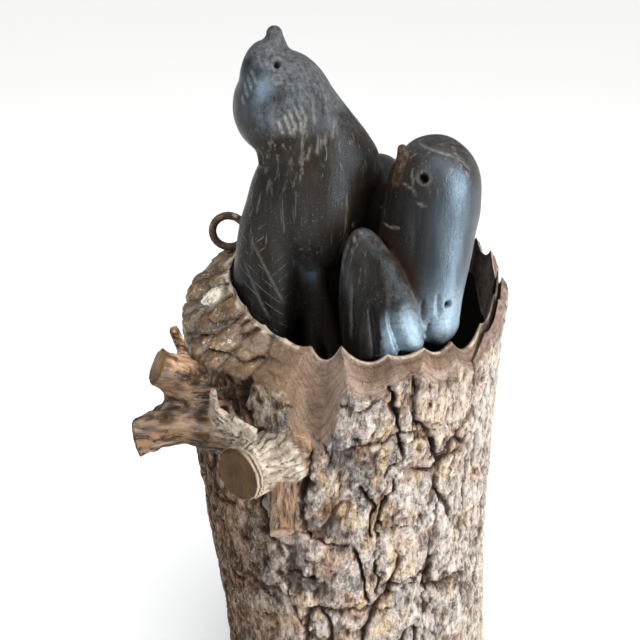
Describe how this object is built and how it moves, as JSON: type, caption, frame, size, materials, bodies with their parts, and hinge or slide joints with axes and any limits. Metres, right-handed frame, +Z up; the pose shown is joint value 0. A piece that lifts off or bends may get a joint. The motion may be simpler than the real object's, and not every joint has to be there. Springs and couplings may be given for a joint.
{
  "type": "bird tree carving",
  "caption": "Folk carving of an adult bird and a chick in dark wood, standing in the gouged hollow of a bark-covered log with sawn branch stubs and an iron hanging eye.",
  "frame": {"origin": "centre of the log's flat sawn underside", "axes": "+Z up along the log; the birds' carved front faces -Y, as the picture sees it; +X to the picture's right"},
  "size_m": [0.1407, 0.1219, 0.2863],
  "materials": {
    "log": "weathered bark with grey, tan and ochre patches, and smooth brown gouge cuts round the rim",
    "birds": "dark wood, blackened and rubbed to a soft sheen, with pale scratches",
    "iron": "rusty wire"
  },
  "bodies": {
    "root": {"trunk": "log", "birds": "birds", "hanging_ring": "iron"}
  },
  "joints": []
}
